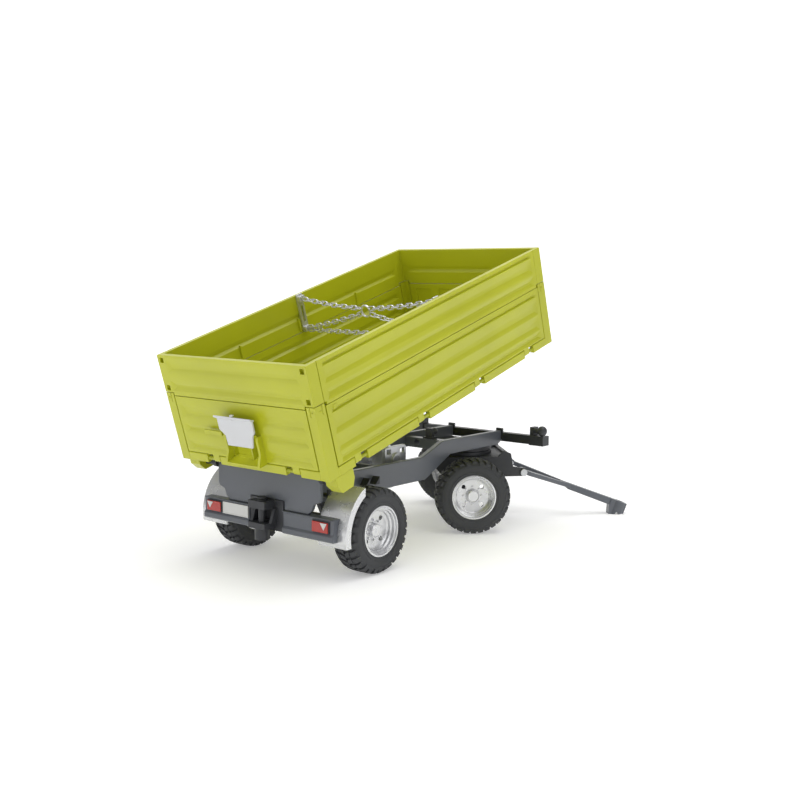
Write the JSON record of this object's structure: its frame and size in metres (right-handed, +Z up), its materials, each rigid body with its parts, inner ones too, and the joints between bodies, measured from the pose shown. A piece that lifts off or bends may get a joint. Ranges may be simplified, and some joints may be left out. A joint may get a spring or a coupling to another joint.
{
  "type": "toy tipping trailer",
  "caption": "Toy drawbar trailer with a tipping box, drop sides, tailgate with grain slide, lift-off upper walls, steered front bogie and telescopic ram.",
  "frame": {"origin": "on the ground, at the middle of the stored pose's outline", "axes": "+X forward towards the drawbar, +Y to the trailer's left, +Z up; stored with the box tipped back 16.7 degrees and the bogie steered 44.4 degrees to the right"},
  "size_m": [0.4093, 0.197, 0.2511],
  "materials": {
    "lime_plastic": "satin lime green moulded plastic",
    "lime_dark": "satin moulded plastic, darker lime",
    "frame_grey": "matte blue-grey plastic",
    "dark_plastic": "matte near-black plastic",
    "silver_plastic": "bright silver metallised plastic",
    "satin_silver": "satin silver plastic",
    "pale_plastic": "matte pale grey plastic",
    "tyre_rubber": "matte dark grey rubber",
    "red_lens": "clear red lens",
    "white_marking": "white marking film"
  },
  "bodies": {
    "chassis": {"rail_left": "frame_grey", "rail_right": "frame_grey", "cross_beams": "frame_grey", "end_beam": "dark_plastic", "end_beam_balls": "dark_plastic", "rear_apron": "frame_grey", "rear_balls": "dark_plastic", "bumper": "frame_grey", "bumper_brackets": "dark_plastic", "light_housings": "dark_plastic", "light_lenses": "red_lens", "light_triangles": "white_marking", "number_plate": "white_marking", "hitch_body": "dark_plastic", "mudguard_left": "silver_plastic", "mudguard_right": "silver_plastic", "mudguard_stays": "dark_plastic", "rear_axle": "dark_plastic", "cylinder_cradle": "satin_silver", "rest_post": "dark_plastic", "turntable_top": "dark_plastic"},
    "hitch_pin_body": {"hitch_pin": "dark_plastic"},
    "bogie": {"turntable_base": "dark_plastic", "bogie_side_left": "dark_plastic", "bogie_side_right": "dark_plastic", "bogie_cross": "dark_plastic", "front_axle": "dark_plastic", "drawbar_pins": "satin_silver"},
    "drawbar": {"drawbar_arms": "frame_grey", "drawbar_beam": "frame_grey", "tow_eye": "frame_grey"},
    "wheel_rear_left": {"tyre_rear_left": "tyre_rubber", "rim_rear_left": "silver_plastic"},
    "wheel_rear_right": {"tyre_rear_right": "tyre_rubber", "rim_rear_right": "silver_plastic"},
    "wheel_front_left": {"tyre_front_left": "tyre_rubber", "rim_front_left": "silver_plastic"},
    "wheel_front_right": {"tyre_front_right": "tyre_rubber", "rim_front_right": "silver_plastic"},
    "cylinder_base": {"cylinder_barrel": "satin_silver"},
    "stage_1": {"cylinder_stage_1": "silver_plastic"},
    "stage_2": {"cylinder_stage_2": "silver_plastic"},
    "stage_3": {"cylinder_stage_3": "silver_plastic"},
    "tipping_box": {"box_floor": "lime_plastic", "box_sills": "lime_plastic", "box_feet": "lime_plastic", "corner_posts": "lime_plastic", "front_wall": "lime_plastic", "hinge_pins": "lime_dark"},
    "side_left": {"drop_side_left": "lime_plastic"},
    "side_right": {"drop_side_right": "lime_plastic"},
    "rear_gate": {"tailgate": "lime_plastic"},
    "grain_slide": {"slide_gate": "pale_plastic"},
    "upper_frame": {"upper_rear": "lime_plastic", "upper_front": "lime_plastic", "upper_left": "lime_plastic", "upper_right": "lime_plastic", "chain_brackets": "silver_plastic", "chains": "silver_plastic"}
  },
  "joints": [
    {"name": "box_tip", "type": "hinge", "parent": "chassis", "child": "tipping_box", "pos_m": [-0.1634, 0.0183, 0.0766], "axis": [0, -1, 0], "range_deg": [-16.7, 19.3]},
    {"name": "cylinder_tilt", "type": "hinge", "parent": "chassis", "child": "cylinder_base", "pos_m": [-0.0289, 0.0183, 0.07], "axis": [0, -1, 0], "range_deg": [-8.4, 9.7]},
    {"name": "stage_1_slide", "type": "slide", "parent": "cylinder_base", "child": "stage_1", "axis": [-0.1525, 0, 0.9883], "range_m": [-0.01275, 0.01475]},
    {"name": "stage_2_slide", "type": "slide", "parent": "stage_1", "child": "stage_2", "axis": [-0.1525, 0, 0.9883], "range_m": [-0.01275, 0.01475]},
    {"name": "stage_3_slide", "type": "slide", "parent": "stage_2", "child": "stage_3", "axis": [-0.1525, 0, 0.9883], "range_m": [-0.01275, 0.01475]},
    {"name": "steering", "type": "hinge", "parent": "chassis", "child": "bogie", "pos_m": [0.0854, 0.0183, 0.0648], "axis": [0, 0, 1], "range_deg": [-5.6, 94.4]},
    {"name": "drawbar_swing", "type": "hinge", "parent": "bogie", "child": "drawbar", "pos_m": [0.12398, -0.01948, 0.0466], "axis": [-0.6997, -0.7145, 0], "range_deg": [0, 60]},
    {"name": "wheel_rear_left_spin", "type": "hinge", "parent": "chassis", "child": "wheel_rear_left", "pos_m": [-0.1204, 0.0848, 0.033], "axis": [0, 1, 0], "continuous": true},
    {"name": "wheel_rear_right_spin", "type": "hinge", "parent": "chassis", "child": "wheel_rear_right", "pos_m": [-0.1204, -0.0482, 0.033], "axis": [0, 1, 0], "continuous": true},
    {"name": "wheel_front_left_spin", "type": "hinge", "parent": "bogie", "child": "wheel_front_left", "pos_m": [0.13193, 0.06581, 0.033], "axis": [0.6997, 0.7145, 0], "continuous": true},
    {"name": "wheel_front_right_spin", "type": "hinge", "parent": "bogie", "child": "wheel_front_right", "pos_m": [0.03887, -0.02921, 0.033], "axis": [0.6997, 0.7145, 0], "continuous": true},
    {"name": "side_left_drop", "type": "hinge", "parent": "tipping_box", "child": "side_left", "pos_m": [-0.03708, 0.0961, 0.12535], "axis": [-0.9578, 0, -0.2874], "range_deg": [0, 100]},
    {"name": "side_right_drop", "type": "hinge", "parent": "tipping_box", "child": "side_right", "pos_m": [-0.03708, -0.0595, 0.12535], "axis": [0.9578, 0, 0.2874], "range_deg": [0, 100]},
    {"name": "tailgate_drop", "type": "hinge", "parent": "tipping_box", "child": "rear_gate", "pos_m": [-0.17865, 0.0183, 0.08288], "axis": [0, -1, 0], "range_deg": [0, 100]},
    {"name": "grain_slide_lift", "type": "slide", "parent": "rear_gate", "child": "grain_slide", "axis": [-0.2874, 0, 0.9578], "range_m": [-0.0122, 0.0076]},
    {"name": "upper_frame_lift", "type": "slide", "parent": "tipping_box", "child": "upper_frame", "axis": [-0.2874, 0, 0.9578], "range_m": [0, 0.06]},
    {"name": "hitch_pin_lift", "type": "slide", "parent": "chassis", "child": "hitch_pin_body", "axis": [0, 0, 1], "range_m": [0, 0.0155]}
  ],
  "couplings": [
    {"joint": "cylinder_tilt", "follows": "box_tip", "ratio": 0.5},
    {"joint": "stage_1_slide", "follows": "box_tip", "m_per_rad": 0.043667},
    {"joint": "stage_2_slide", "follows": "box_tip", "m_per_rad": 0.043667},
    {"joint": "stage_3_slide", "follows": "box_tip", "m_per_rad": 0.043667}
  ]
}
